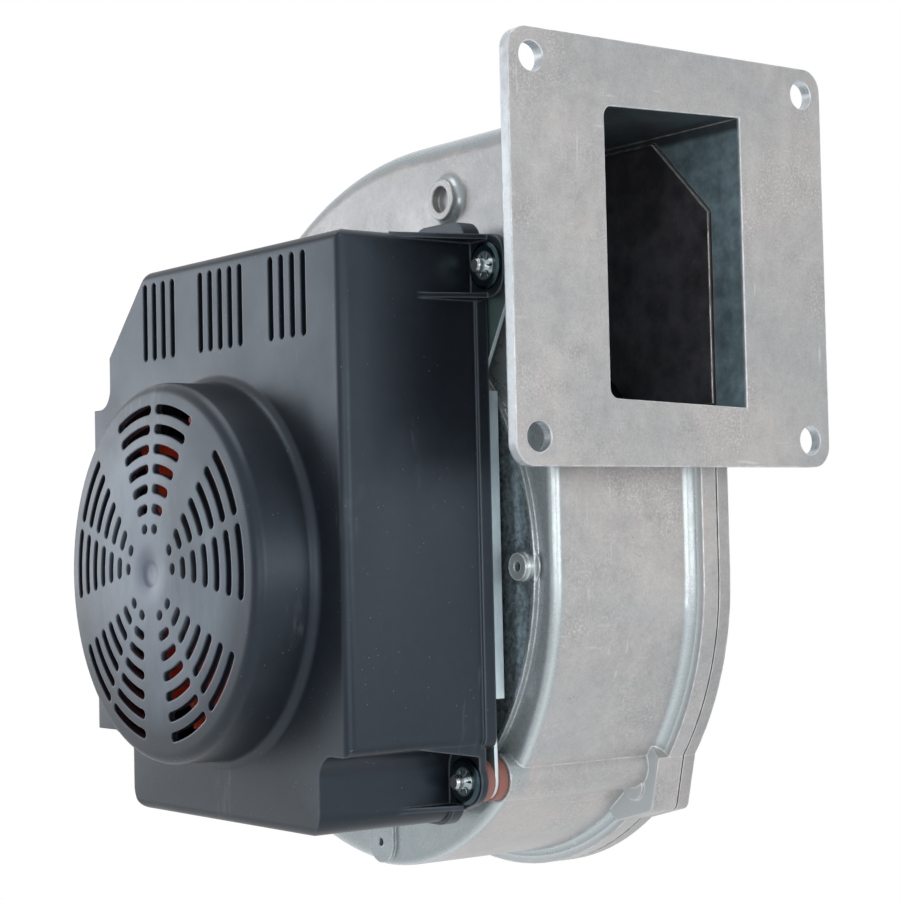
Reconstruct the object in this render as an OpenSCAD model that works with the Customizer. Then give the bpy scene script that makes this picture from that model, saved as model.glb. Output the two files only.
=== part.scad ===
// Direct-current radial blower: cast scroll with a square outlet flange, elastically
// mounted motor under a slotted cover, and a backward-curved impeller.
// Origin: centre of the outlet flange's face. +X leaves the outlet, +Z is up,
// -Y is the motor side and +Y the inlet side. The fan axis runs along Y.

/* [Outlet flange] */
// Side of the square outlet flange
flange_size = 120; // [108:1:150]
// Thickness of the flange
flange_t = 3.5; // [3:0.1:6]
// Corner radius of the flange
flange_corner_r = 6.5; // [3:0.5:12]
// Hole spacing, the same both ways
flange_pitch = 104; // [90:1:130]
// Flange hole diameter
flange_hole_d = 8.5; // [6:0.1:10]

/* [Outlet duct] */
// Clear width of the duct
duct_w = 52.4; // [44:1:64]
// Clear height of the duct on its motor side
duct_h_motor = 82.2; // [68:0.2:99]
// Clear height of the duct on its inlet side
duct_h_inlet = 85.4; // [70:0.2:103]
// Distance from the flange face back to the scroll's outer wall
neck_l = 24.4; // [20:0.2:36]

/* [Scroll casting] */
// Wall of the casting
cast_wall = 2.6; // [2.2:0.1:4]
// Space between the impeller rim and the scroll's first arc
scroll_gap = 13.4; // [10:0.1:22]
// Width of the rim that carries the inlet cover
rim_w = 4.7; // [4:0.1:8]
// Thickness of that rim
rim_t = 5.8; // [4:0.2:8]
// Thickness of the screw ears on the rim
ear_t = 9.8; // [7:0.2:12]
// Radius of the raised round land on the motor side
land_r = 81; // [60:1:84]
// Height of the raised round land
land_h = 1.2; // [0.5:0.1:2]

/* [Inlet cover] */
// Thickness of the inlet cover
inlet_cover_t = 4.5; // [3.5:0.1:7]
// Gap left all round the cover's raised pad
pad_gap = 0.4; // [0.2:0.1:0.8]
// Bore of the inlet nozzle
inlet_d = 70; // [56:1:76]
// Wall of the inlet nozzle
nozzle_wall = 2.5; // [2:0.1:3.5]
// Outer diameter of the inlet collar
collar_d = 106; // [100:1:118]
// Height of the inlet collar above the cover
collar_h = 4.7; // [3:0.1:9]
// Pitch circle of the tapped holes in the collar
collar_pcd = 92; // [86:1:98]
// Tapping hole of the collar's screws
collar_hole_d = 4.2; // [3.3:0.1:5]

/* [Impeller] */
// Impeller diameter
impeller_d = 148; // [124:1:178]
// Space between the impeller's rim and the inlet cover's pad
impeller_front_gap = 15.4; // [14:0.2:20]
// Number of blades
blade_n = 11; // [7:1:14]
// Sheet thickness of the impeller
impeller_t = 1.5; // [1:0.1:2]
// Gap between the inlet nozzle and the impeller's eye
eye_gap = 1.8; // [1:0.1:3]

/* [Shaft and bearings] */
// Shaft diameter
shaft_d = 8; // [6:0.5:10]
// Outer diameter of the ball bearings
bearing_d = 22; // [19:1:26]
// Width of the ball bearings
bearing_w = 7; // [6:0.5:9]
// Radial clearance of the shaft in a bearing
bearing_gap = 0.03; // [0.01:0.01:0.09]

/* [Motor] */
// Outer diameter of the stator core
stator_d = 88; // [74:1:96]
// Length of the stator core
stator_l = 21; // [16:1:24]
// Outer diameter of the magnet ring
magnet_d = 44; // [38:1:50]
// Air gap between magnet and stator
air_gap = 0.7; // [0.4:0.1:1.2]
// Number of stator poles
pole_n = 9; // [6:3:12]
// Diameter of the cooling wheel
cooling_d = 94; // [80:1:98]
// Number of cooling vanes
vane_n = 9; // [6:1:12]

/* [Elastic mounting] */
// Pin diameter
pin_d = 4.4; // [3:0.2:5]
// Diameter of the grommets
grommet_d = 12.8; // [11:0.2:15]
// Thickness of each half of a grommet
grommet_t = 3.5; // [3:0.1:4.5]
// Thickness of the motor plate
plate_t = 1.2; // [1:0.1:2]
// Height of the pin bosses above the casting's motor side
boss_h = 3.5; // [3:0.5:5]
// Diameter of the push-on washers
washer_d = 13.6; // [10:0.2:16]

/* [Motor cover] */
// Wall of the motor cover
cover_wall = 2.2; // [1.8:0.1:3]
// Depth of the cover from its rear edge to its front face
cover_depth = 50.5; // [50:0.5:60]
// Radius of the cover's front edges
cover_edge_r = 3; // [2:0.5:5]
// Outer diameter of the dome at its base
dome_d = 113; // [110:1:118]
// Height of the dome's rim over the cover face
dome_h = 20; // [18:0.5:26]
// Rise of the dome's cap from rim to centre
cap_rise = 2.5; // [1:0.1:5]
// Number of slot rows in each sector
slot_rows = 7; // [4:1:7]
// Number of sectors
sector_n = 5; // [3:1:6]
// Radius of the outermost row of slots
slot_row_r = 48.6; // [44:0.1:50]
// Distance between the rows
slot_pitch = 5.87; // [5:0.01:6.5]
// Width of the slots
slot_w = 2.9; // [2:0.1:3.4]

/* [Hidden] */
$fn = 96;

eps = 0.01;

// Planes across the fan axis, as Y values
y_duct_motor = -duct_w / 2;
y_duct_inlet = duct_w / 2;
wall_motor_t = 1.8;
y_wall = y_duct_motor - wall_motor_t;
y_land = y_wall - land_h;
y_boss = y_wall - boss_h;
y_plate = y_boss - grommet_t;
y_plate_out = y_plate - plate_t;
y_cover = y_plate_out - grommet_t;
y_joint = y_duct_inlet + 5.3;
gasket_t = 0.5;
y_cover_in = y_joint + gasket_t;
y_inlet_face = y_cover_in + inlet_cover_t;
y_collar = y_inlet_face + collar_h;
y_face = y_plate_out - cover_depth - 1.2;
y_cap_rim = y_face - dome_h;

// Scroll outline: four arcs a, b, c, d, clockwise from the right, seen from the motor side.
// Each radius is that of the outer wall; centres are [x, z]. Arcs c and d meet on a line
// that leans by a 3-4-5 triangle, so that every corner is a round number.
r_a = impeller_d / 2 + scroll_gap + cast_wall;
r_d = r_a + 47;
duct_top = duct_h_motor / 2 + cast_wall;
axis = [-neck_l - r_a + 2.2, duct_top - r_d + 6];
c_a = axis + [-2.2, -4.2];
u_cd = [-0.6, 0.8];
k_cd = 21.4;
// The last centre lies where the four arcs close without a corner
c_d = [c_a[0] + c_a[1] - r_a + 2 * r_d - duct_top - 1.2 * k_cd, duct_top - r_d];
c_c = c_d + k_cd * u_cd;
r_c = r_d - k_cd;
c_b = [c_a[0], c_c[1]];
r_b = r_a + c_c[1] - c_a[1];
// Roundings of the motor-side edge: small beside the outlet, larger round the rest
wall_edge_r = 3;
duct_edge_r = 7;
// Cove between the scroll's wall and the rim
rim_cove = 4;
// Rounding inside the duct's mouth on the motor side
duct_corner_r = 3;
y_rim = y_joint - rim_t;
// Regions of the four arcs: each arc's disc is cut to its own region
far = 300;
core_low = min(c_a[1], c_d[1]) - 3;
region_a = [[c_a[0], core_low], [c_a[0], -far], [far, -far], [far, c_a[1]], [c_a[0], c_a[1]]];
region_b = [c_b, [c_b[0], -far], [-far, -far], [-far, c_b[1]]];
region_c = [c_c, [-far, c_c[1]], [-far, far], c_c + far * u_cd];
region_d = [c_d, c_d + far * u_cd, [c_d[0], far]];
arcs = [[c_a, r_a, region_a, wall_edge_r], [c_b, r_b, region_b, duct_edge_r],
    [c_c, r_c, region_c, duct_edge_r], [c_d, r_d, region_d, duct_edge_r]];
// Radius of a disc about the fan axis that covers the middle of the scroll
core_r = r_a / 2;
scroll_right = c_a[0] + r_a;
duct_start = c_d[0];

// Opening of the casting on the inlet side
open_right = -13;
open_chamfer = 24;
rim_right = open_right + 5;

// Pins that carry the motor, as [x, z]
a_low = -41.6;
pin_low = c_a + (r_a - 3) * [cos(a_low), sin(a_low)];
pin_up = [-34, -1.1];
cover_left = axis[0] - 79.1;
pin_left = [cover_left - 8.6, axis[1] + 8];
pins = [pin_up, pin_low, pin_left];
boss_r = 8;
low_boss_r = grommet_d / 2 + 0.7;
plate_ear_r = grommet_d / 2 - 0.6;
land_lip = 1.6;
cover_ear_r = washer_d / 2 + 0.5;
up_ear_half = 9.2;
gusset_t = 1.5;

// Screw ears of the inlet cover, as [arc centre, arc radius, angle]
ears = [[c_a, r_a, -44.4], [c_b, r_b, -112], [c_b, r_b, -172], [c_d, r_d, 118], [c_d, r_d, 91]];
ear_reach = 7.2;
ear_tip_r = 3;
ear_flank = 31;
ear_half = 15;
ear_screw_in = 1.8;
screw_d = 4;
duct_screws = [[-10.5, duct_top + 3], [-10.5, -duct_top - 3]];

// Bosses of the casting's motor side, as [x, z]
vent_boss = [pin_up[0] - 37.1, 24.1];
small_boss = axis + [76, -0.2];
lug = [axis[0] - 0.3, c_b[1] - r_b + 7.5];

// Impeller, from its back plate at the motor side to the eye at the inlet
seal_d = 34;
y_back = y_duct_motor + 4.5;
y_blade = y_back + impeller_t;
y_rim_front = y_duct_inlet - 1 - impeller_front_gap;
eye_r = inlet_d / 2 + nozzle_wall + eye_gap;
y_eye = y_rim_front + 7;
y_nozzle = y_eye - 1;
imp_r = impeller_d / 2;
hub_r = 17;
rivet_pcr = 13;
rivet_r = 1.4;
rivet_angles = [30:60:330];
y_shaft_front = y_blade + 23;

// Motor stack, from the plate towards the dome
bracket_t = 3;
bracket_wall = 3.5;
bracket_r = stator_d / 2;
y_stator = y_plate_out - 13.2;
y_stator_out = y_stator - stator_l;
y_rear = y_stator_out - 7;
y_wheel = y_rear - bracket_t - 3;
y_shaft_rear = y_cap_rim + 5;
seat_r = bearing_d / 2;
screw_pcr = bracket_r + 3.6;
screw_angles = [45:90:315];
stator_bore_r = magnet_d / 2 + air_gap;
y_front_bearing = y_plate_out - 4 - bearing_w;
y_rear_bearing = y_rear - bracket_t + 0.6;
wheel_disc_t = 1.6;
wheel_h = 17;

// Motor plate and the stack on each pin
plate_right = pin_up[0] - 10;
lip_w = 4.4;
lip_high = pin_up[1] - 35;
lip_low = pin_low[1] + 23.5;
groove_r = grommet_d / 2 - 2.3;
ear_plate_t = 2.5;
y_ear = y_cover - ear_plate_t;
y_pin_end = y_ear - 4.8;

// Roundings of the dome's rim and foot
dome_edge_r = 3.5;
cove_r = 3;
// Outline of the motor cover
cover_rim = y_plate_out - 1;
cover_right = pin_up[0] - 8;
cover_top = pin_up[1] + 9.1;
cover_waist = pin_low[1] + 10.3;
cover_bottom = pin_low[1] - 13;
cover_foot_left = axis[0] - 53.3;
cover_foot_right = pin_low[0] - 8.4;
cover_slope_x = axis[0] - 65.8;
cover_slope = 25.5;
bump_top = axis[1] + 53.2;
bump_low = axis[1] - 51;

// Vents: width, height and pitch, then the groups, each as the distance of its first
// vent from the cover's right side and the number of vents
// Rib down the middle of each sector of slots
sector_rib = 2.3;
vent_w = 2.8;
vent_h = 24.6;
vent_pitch = 5.8;
vent_groups = [[18.8, 4], [53.5, 5], [94, 4]];

// Electronics
board_low = axis[1] + bracket_r + 9.5;
board_high = cover_top - 5;
board_left = cover_slope_x + cover_slope;
board_right = cover_right - 5;
y_board = y_plate_out - 8;
board_t = 1.6;
socket_depth = 14;
y_socket = y_face + 22;
socket_clear = 0.3;
power_z = axis[1] + 30;
power_size = [13, 22];
signal_z = axis[1] - 22;
signal_size = [10, 20];

// ---------- helpers ----------

// Extrudes an outline given in X and Z from one Y plane to a higher one
module slab(y_low, y_high) {
    translate([0, y_high, 0]) rotate([90, 0, 0]) linear_extrude(y_high - y_low) children();
}

// Round bar along Y at p = [x, z]
module bar(p, y_low, y_high, r) {
    translate([p[0], y_high, p[1]]) rotate([90, 0, 0]) cylinder(r = r, h = y_high - y_low);
}

// Turns a profile given as [radius, Y] about the Y line through p
module turned(p = axis) {
    translate([p[0], 0, p[1]]) rotate([-90, 0, 0]) rotate_extrude() children();
}

module ring_profile(r_in, r_out, y_low, y_high) {
    translate([r_in, y_low]) square([r_out - r_in, y_high - y_low]);
}

module disc_at(p, r) {
    translate(p) circle(r = r);
}

// Rectangle from corner p to corner q
module box2(p, q) {
    translate(p) square(q - p);
}

// Rectangle whose four corners have one radius
module round_box2(p, q, r) {
    box2(p + [r, 0], q - [r, 0]);
    box2(p + [0, r], q - [0, r]);
    for (x = [p[0] + r, q[0] - r], z = [p[1] + r, q[1] - r]) disc_at([x, z], r);
}

// What a concave corner at p keeps of material: a square less a quarter disc, with the
// open side towards [sx, sz]
module web2(p, r, sx, sz) {
    difference() {
        translate(p - [sx < 0 ? r : 0.2, sz < 0 ? r : 0.2]) square(r + 0.2);
        disc_at(p + r * [sx, sz], r);
    }
}

// Places children on the pitch circle about the fan axis, at the angles given
module around(r, angles) {
    for (a = angles) translate([axis[0] + r * cos(a), 0, axis[1] + r * sin(a)]) children();
}

// ---------- scroll outline ----------

// Scroll without its duct, grown by g
module scroll2(g) {
    for (s = arcs) intersection() {
        disc_at(s[0], s[1] + g);
        polygon(s[2]);
    }
    disc_at(axis, core_r);
}

// Area between the scroll's first arc and the duct, right of the last centre
module tongue2(g) {
    intersection() {
        disc_at(c_a, r_a + g);
        box2([duct_start, c_a[1]], [0, -duct_h_motor / 2 + 1]);
    }
    box2([c_a[0], c_a[1]], [duct_start + eps, c_d[1] + 40]);
}

module rim_ears2(shrink = 0) {
    for (e = ears) translate(e[0]) rotate(e[2]) {
        tip = e[1] + rim_w + ear_reach - ear_tip_r - shrink;
        n = [cos(ear_flank), sin(ear_flank)];
        t = [-n[1], n[0]];
        p = [tip, 0] + ear_tip_r * n;
        q = p + ear_half * t;
        polygon([p, q, [e[1] - 6, q[1]], [e[1] - 6, -q[1]], [q[0], -q[1]], [p[0], -p[1]]]);
        disc_at([tip, 0], ear_tip_r);
    }
}

// Outline of the rim and of the inlet cover
module rim2() {
    scroll2(rim_w);
    box2([duct_start - 1, -duct_top - rim_w], [rim_right, duct_top + rim_w]);
    box2([c_a[0], c_a[1]], [scroll_right + rim_w, -duct_top]);
    rim_ears2();
    for (p = duct_screws) disc_at(p, 5);
}

// The casting's opening on the inlet side, grown by g
module opening2(g) {
    floor_z = -duct_h_motor / 2 - g;
    scroll2(g - cast_wall);
    tongue2(g - cast_wall);
    difference() {
        box2([duct_start - 1, floor_z], [open_right + g, duct_top - cast_wall + g]);
        translate([open_right + g, duct_top - cast_wall + g]) rotate(45)
            square(sqrt(2) * open_chamfer, center = true);
    }
}

module at_ears() {
    for (e = ears)
        let (p = e[0] + (e[1] + ear_screw_in) * [cos(e[2]), sin(e[2])])
            translate([p[0], 0, p[1]]) children();
    for (p = duct_screws) translate([p[0], 0, p[1]]) children();
}

// ---------- casting ----------

// The scroll's body with its rounded motor-side edge
module scroll_solid() {
    bar(axis, y_wall, y_joint - eps, core_r);
    for (s = arcs) intersection() {
        turned(s[0]) {
            ring_profile(0, s[1] - s[3], y_wall, y_joint - eps);
            ring_profile(0, s[1], y_wall + s[3], y_joint - eps);
            disc_at([s[1] - s[3], y_wall + s[3]], s[3]);
            rim_cove2(s[1]);
        }
        slab(y_wall - 1, y_joint) polygon(s[2]);
    }
}

// Profile of the cove between a wall at x and the rim
module rim_cove2(x) {
    difference() {
        box2([x - 1, y_rim - rim_cove], [x + rim_cove, y_rim + 0.5]);
        disc_at([x + rim_cove, y_rim - rim_cove], rim_cove);
    }
}

// Straight wall from the first arc up to the duct's floor
module straight_wall() {
    x_edge = scroll_right - wall_edge_r;
    z_top = -duct_h_motor / 2;
    slab(y_wall + wall_edge_r, y_joint - eps) box2(c_a, [scroll_right, z_top]);
    slab(y_wall, y_wall + wall_edge_r) box2(c_a, [x_edge, z_top]);
    translate([0, 0, c_a[1]]) linear_extrude(z_top - c_a[1]) rim_cove2(scroll_right);
    intersection() {
        translate([x_edge, y_wall + wall_edge_r, c_a[1]]) cylinder(r = wall_edge_r, h = z_top - c_a[1]);
        slab(y_wall, y_wall + wall_edge_r) box2([x_edge, c_a[1]], [scroll_right, z_top]);
    }
}

// Duct with its rounded motor-side edges, from the last centre to the flange
module duct_outside() {
    h_m = duct_h_motor / 2 + cast_wall;
    h_i = duct_h_inlet / 2 + cast_wall;
    y_i = y_duct_inlet + cast_wall;
    r = duct_edge_r;
    translate([duct_start, 0, 0]) rotate([90, 0, 90]) linear_extrude(-flange_t / 2 - duct_start) {
        polygon([[y_wall + r, -h_m], [y_i, -h_i], [y_i, h_i], [y_wall + r, h_m]]);
        box2([y_wall, -h_m + r], [y_wall + r + eps, h_m - r]);
        for (z = [-1, 1]) disc_at([y_wall + r, z * (h_m - r)], r);
    }
}

module cast_outside() {
    scroll_solid();
    straight_wall();
    duct_outside();
    slab(y_rim, y_joint) rim2();
    slab(y_joint - ear_t, y_rim + 1) rim_ears2(0.1);
    turned() {
        ring_profile(0, land_r, y_land, y_wall + 1);
        // raised lip along the land's edge
        ring_profile(land_r - land_lip, land_r, y_land - 0.6, y_land + eps);
    }
    for (p = [pin_up, pin_left]) bar(p, y_boss, y_wall + 1, boss_r);
    bar(pin_low, y_boss, y_rim + 1, low_boss_r);
    at_ears() bar([0, 0], y_joint - ear_t - 1, y_joint - 1, 4.5);
}

module cast_hollow() {
    slab(y_duct_motor, y_joint + 1) opening2(0);
    duct_hollow();
    // lightening pocket between the tongue and the straight wall
    slab(y_wall + 2 * cast_wall, y_joint + 1) difference() {
        box2([duct_start, c_a[1] + 6], [scroll_right - cast_wall, -duct_top]);
        disc_at(c_a, r_a + 1);
    }
}

module duct_hollow() {
    h_m = duct_h_motor / 2;
    h_i = duct_h_inlet / 2;
    y_m = y_duct_motor;
    r = duct_corner_r;
    translate([duct_start - 1, 0, 0]) rotate([90, 0, 90]) linear_extrude(2 - duct_start) {
        polygon([[y_m + r, -h_m], [y_duct_inlet, -h_i], [y_duct_inlet, h_i], [y_m + r, h_m]]);
        box2([y_m, -h_m + r], [y_m + r + eps, h_m - r]);
        for (z = [-1, 1]) disc_at([y_m + r, z * (h_m - r)], r);
    }
}

// Boss with a coved foot: p, boss radius, hole radius, face plane, foot plane
module coved_boss(p, r, y_top, y_foot, cove) {
    turned(p) {
        ring_profile(0, r, y_top, y_foot + 0.5);
        difference() {
            ring_profile(0, r + cove, y_foot - cove, y_foot + 0.5);
            disc_at([r + cove, y_foot - cove], cove);
        }
    }
}

module volute_housing() color("silver") {
    difference() {
        union() {
            cast_outside();
            translate([-flange_t, 0, 0]) rotate([90, 0, 90]) linear_extrude(flange_t)
                round_box2(-flange_size / 2 * [1, 1], flange_size / 2 * [1, 1], flange_corner_r);
            coved_boss(vent_boss, 6.2, y_wall - 3.2, y_wall, 2.6);
            coved_boss(small_boss, 4, y_land - 3, y_land, 2.6);
            slab(y_land, y_wall + 3) {
                disc_at(lug, 6.5);
                box2(lug - [6.5, 0], lug + [6.5, 9]);
            }
        }
        cast_hollow();
        for (y = [-1, 1] * flange_pitch / 2, z = [-1, 1] * flange_pitch / 2)
            translate([-flange_t - 1, y, z]) rotate([0, 90, 0]) cylinder(d = flange_hole_d, h = flange_t + 2);
        bar(axis, y_land - 1, y_duct_motor + 1, seal_d / 2);
        for (p = pins) bar(p, y_boss - 1, y_boss + pin_depth(p), pin_d / 2);
        bar(vent_boss, y_wall - 4, y_wall - 0.6, 4.1);
        bar(small_boss, y_land - 4, y_land + 1, 1.5);
        bar(lug, y_land - 1, y_wall + 2, 1.3);
        at_ears() bar([0, 0], y_joint - 8, y_joint + 1, screw_d / 2);
    }
}

// Pins go through the motor-side wall only where a boss backs them
function pin_depth(p) = p == pin_low ? 12 : boss_h - 0.6;

// ---------- inlet side ----------

module inlet_gasket() color("dimgray") slab(y_joint, y_cover_in) difference() {
    rim2();
    opening2(0.2);
    for (e = ears) disc_at(e[0] + (e[1] + ear_screw_in) * [cos(e[2]), sin(e[2])], screw_d / 2 + 0.3);
    for (p = duct_screws) disc_at(p, screw_d / 2 + 0.3);
}

module inlet_cover() color("silver") {
    lip_r = 8;
    r_in = inlet_d / 2;
    difference() {
        union() {
            slab(y_cover_in, y_inlet_face) rim2();
            slab(y_duct_inlet - 1, y_cover_in + eps) opening2(-pad_gap);
            turned() ring_profile(0, collar_d / 2, y_inlet_face - eps, y_collar);
            turned() ring_profile(0, r_in + nozzle_wall, y_nozzle, y_duct_inlet);
            for (a = [45:90:315]) rotate_about_axis(a) slab(y_inlet_face - eps, y_inlet_face + 2)
                box2(axis + [collar_d / 2 - 2, -1.5], axis + [r_a - 5, 1.5]);
        }
        turned() {
            ring_profile(0, r_in, y_nozzle - 1, y_collar + 1);
            difference() {
                ring_profile(0, r_in + lip_r, y_collar - lip_r, y_collar + 1);
                disc_at([r_in + lip_r, y_collar - lip_r], lip_r);
            }
        }
        // relief behind the pad, so that the cover is a shell
        turned() ring_profile(collar_d / 2 + 4, r_a - 12, y_duct_inlet - 2, y_cover_in - 1.5);
        around(collar_pcd / 2, [0:90:270]) bar([0, 0], y_collar - 8, y_collar + 1, collar_hole_d / 2);
        at_ears() bar([0, 0], y_cover_in - 1, y_inlet_face + 1, screw_d / 2 + 0.3);
    }
}

module rotate_about_axis(a) {
    translate([axis[0], 0, axis[1]]) rotate([0, -a, 0]) translate([-axis[0], 0, -axis[1]]) children();
}

module inlet_cover_screws() color("lightgray") at_ears() {
    bar([0, 0], y_joint - 7.5, y_inlet_face + eps, screw_d / 2 - 0.02);
    difference() {
        bar([0, 0], y_inlet_face, y_inlet_face + 2.6, 3.7);
        bar([0, 0], y_inlet_face + 1, y_inlet_face + 3, 1.6, $fn = 6);
    }
}

module shaft_seal() color("black") turned() {
    ring_profile(shaft_d / 2 + 0.6, seal_d / 2, y_wall - 0.4, y_duct_motor);
    ring_profile(shaft_d / 2 + 0.6, shaft_d / 2 + 3, y_duct_motor - eps, y_duct_motor + 1.4);
}

// ---------- impeller ----------

// Line of the shroud's inner face, from the rim to the eye
module under_shroud(extra = 0) {
    polygon([[hub_r - 3, y_blade - extra], [imp_r + extra, y_blade - extra],
        [imp_r + extra, y_rim_front], [eye_r, y_eye], [hub_r - 3, y_eye]]);
}

module impeller_backplate() color("gainsboro") difference() {
    turned() ring_profile(shaft_d / 2, imp_r, y_back, y_blade);
    rivet_holes();
}

module rivet_holes() {
    around(rivet_pcr, rivet_angles) bar([0, 0], y_back - 1, y_blade + 4, rivet_r);
}

// Backward-curved blade line: part of a circle off the fan axis
module blade2() {
    blade_in = eye_r - 1;
    line_r = 0.743 * imp_r;
    off = 0.649 * imp_r;
    intersection() {
        difference() {
            disc_at([off, 0], line_r + impeller_t / 2);
            disc_at([off, 0], line_r - impeller_t / 2);
        }
        difference() {
            circle(r = imp_r - 0.4);
            circle(r = blade_in);
        }
        box2([-imp_r, -imp_r], [imp_r, 0]);
    }
}

module impeller_blades() color("silver") intersection() {
    slab(y_blade, y_eye + 1)
        for (i = [0:blade_n - 1]) translate(axis) rotate(i * 360 / blade_n) blade2();
    turned() under_shroud();
}

module impeller_shroud() color("gainsboro") turned() {
    t = impeller_t;
    polygon([[imp_r, y_rim_front], [imp_r, y_rim_front + t], [eye_r + t, y_eye + t],
        [eye_r + t, y_eye + 4], [eye_r, y_eye + 4], [eye_r, y_eye]]);
}

module impeller_hub() color("silver") difference() {
    turned() {
        ring_profile(shaft_d / 2, hub_r, y_blade, y_blade + 3);
        ring_profile(shaft_d / 2, 9, y_blade + 3 - eps, y_blade + 16);
    }
    rivet_holes();
}

module hub_rivets() color("gray") around(rivet_pcr, rivet_angles) {
    bar([0, 0], y_back - 1.2, y_back, rivet_r + 1);
    bar([0, 0], y_back - eps, y_blade + 3 + eps, rivet_r);
    bar([0, 0], y_blade + 3, y_blade + 4.2, rivet_r + 1);
}

module hub_nut() color("gray") difference() {
    translate([axis[0], y_blade + 21, axis[1]]) rotate([90, 0, 0]) cylinder(r = 7.5, h = 5, $fn = 6);
    bar(axis, y_blade + 15, y_blade + 22, shaft_d / 2);
}

// ---------- motor ----------

module shaft() color("lightsteelblue") turned() {
    ring_profile(0, shaft_d / 2, y_shaft_rear + 0.5, y_shaft_front);
    ring_profile(0, shaft_d / 2 - 0.5, y_shaft_rear, y_shaft_front + 0.5);
}

// Ball bearing shown as its sealed ring
module bearing(y_low) turned() difference() {
    ring_profile(shaft_d / 2 + bearing_gap, seat_r, y_low, y_low + bearing_w);
    for (y = [y_low - eps, y_low + bearing_w - 0.5])
        ring_profile(shaft_d / 2 + 2, seat_r - 2, y, y + 0.5 + eps);
}

module front_bearing() color("gray") bearing(y_front_bearing);

module rear_bearing() color("gray") bearing(y_rear_bearing);

module bracket_ears(y_low, y_high) {
    around(screw_pcr, screw_angles) bar([0, 0], y_low, y_high, 4.4);
}

module front_bearing_bracket() color("darkgray") difference() {
    union() {
        turned() {
            ring_profile(shaft_d / 2 + 2.5, bracket_r, y_plate_out - bracket_t, y_plate_out);
            ring_profile(bracket_r - bracket_wall, bracket_r, y_stator, y_plate_out);
            ring_profile(seat_r, seat_r + 3, y_front_bearing, y_plate_out);
        }
        bracket_ears(y_stator, y_plate_out);
    }
    bar(axis, y_front_bearing - 1, y_front_bearing + bearing_w, seat_r);
    bar(axis, y_plate_out - 5, y_plate_out + 1, shaft_d / 2 + 2.5);
    around(screw_pcr, screw_angles) bar([0, 0], y_stator - 1, y_stator + 9, 2);
    around(30, [0:90:270]) bar([0, 0], y_plate_out - 4, y_plate_out + 1, 1.8);
}

module rear_bearing_bracket() color("darkgray") difference() {
    union() {
        turned() {
            ring_profile(seat_r - 2, bracket_r, y_rear - bracket_t, y_rear);
            ring_profile(bracket_r - bracket_wall, bracket_r, y_rear - eps, y_stator_out);
            ring_profile(seat_r, seat_r + 3, y_rear - bracket_t, y_rear_bearing + bearing_w);
        }
        bracket_ears(y_rear - bracket_t, y_stator_out);
    }
    bar(axis, y_rear_bearing, y_rear + 8, seat_r);
    around(screw_pcr, screw_angles) bar([0, 0], y_rear - bracket_t - 1, y_stator_out + 1, 2.2);
    // cooling windows
    around(26, [0:60:300]) bar([0, 0], y_rear - bracket_t - 1, y_rear + 1, 6);
}

module bracket_screws() color("gray") around(screw_pcr, screw_angles) {
    difference() {
        bar([0, 0], y_rear - bracket_t - 2.6, y_rear - bracket_t, 3.6);
        bar([0, 0], y_rear - bracket_t - 3, y_rear - bracket_t - 1, 1.6, $fn = 6);
    }
    bar([0, 0], y_rear - bracket_t - eps, y_stator + 8.6, 1.98);
}

module plate_screws() color("gray") around(30, [0:90:270]) {
    bar([0, 0], y_plate, y_plate + 2, 3.4);
    bar([0, 0], y_plate_out - 3.8, y_plate + eps, 1.78);
}

module stator_core() color("dimgray") slab(y_stator_out, y_stator) translate(axis) {
    yoke = 5;
    r_out = bracket_r;
    difference() {
        circle(r = r_out);
        circle(r = r_out - yoke);
    }
    for (i = [0:pole_n - 1]) rotate((i + 0.5) * 360 / pole_n) {
        box2([stator_bore_r + 1, -3], [r_out - yoke + 1, 3]);
        intersection() {
            difference() {
                circle(r = stator_bore_r + 3);
                circle(r = stator_bore_r);
            }
            polygon([[0, 0], 2 * r_out * [1, -tan(145 / pole_n)], 2 * r_out * [1, tan(145 / pole_n)]]);
        }
    }
}

// Coil formers at both ends of the core, one on each pole, joined by a ring
module stator_insulator() color("orangered") {
    end_h = 4.5;
    for (y = [y_stator, y_stator_out - end_h]) slab(y, y + end_h) translate(axis) {
        difference() {
            circle(r = bracket_r - bracket_wall - 0.8);
            circle(r = bracket_r - bracket_wall - 3.4);
        }
        for (i = [0:pole_n - 1]) rotate((i + 0.5) * 360 / pole_n) {
            box2([stator_bore_r + 1.2, -3], [bracket_r - bracket_wall - 3, 3]);
            box2([stator_bore_r + 0.8, -6], [stator_bore_r + 2.8, 6]);
        }
    }
}

// Coils: racetrack rings round each pole
module stator_windings() color("darkorange") {
    coil_in = stator_bore_r + 3.2;
    coil_t = min(2, coil_in * tan(180 / pole_n) - 3.6);
    // the outer corners clear the insulator's ring
    coil_out = sqrt(pow(bracket_r - bracket_wall - 3.5, 2) - pow(3.2 + coil_t, 2));
    for (i = [0:pole_n - 1]) rotate_about_axis((i + 0.5) * 360 / pole_n) difference() {
        coil_block(coil_in, coil_out, 3.2 + coil_t, 4.6 + coil_t);
        coil_block(coil_in - 1, coil_out + 1, 3.2, 4.6);
    }
}

// Block round a pole that stands along X from the fan axis
module coil_block(r_in, r_out, half_w, over) {
    translate([axis[0] + r_in, y_stator_out - over, axis[1] - half_w])
        cube([r_out - r_in, stator_l + 2 * over, 2 * half_w]);
}

module rotor_core() color("gray") turned()
    ring_profile(shaft_d / 2, magnet_d / 2 - 4, y_stator_out + 0.5, y_stator - 0.5);

module rotor_magnet() color("dimgray") turned()
    ring_profile(magnet_d / 2 - 4, magnet_d / 2, y_stator_out, y_stator);

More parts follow.
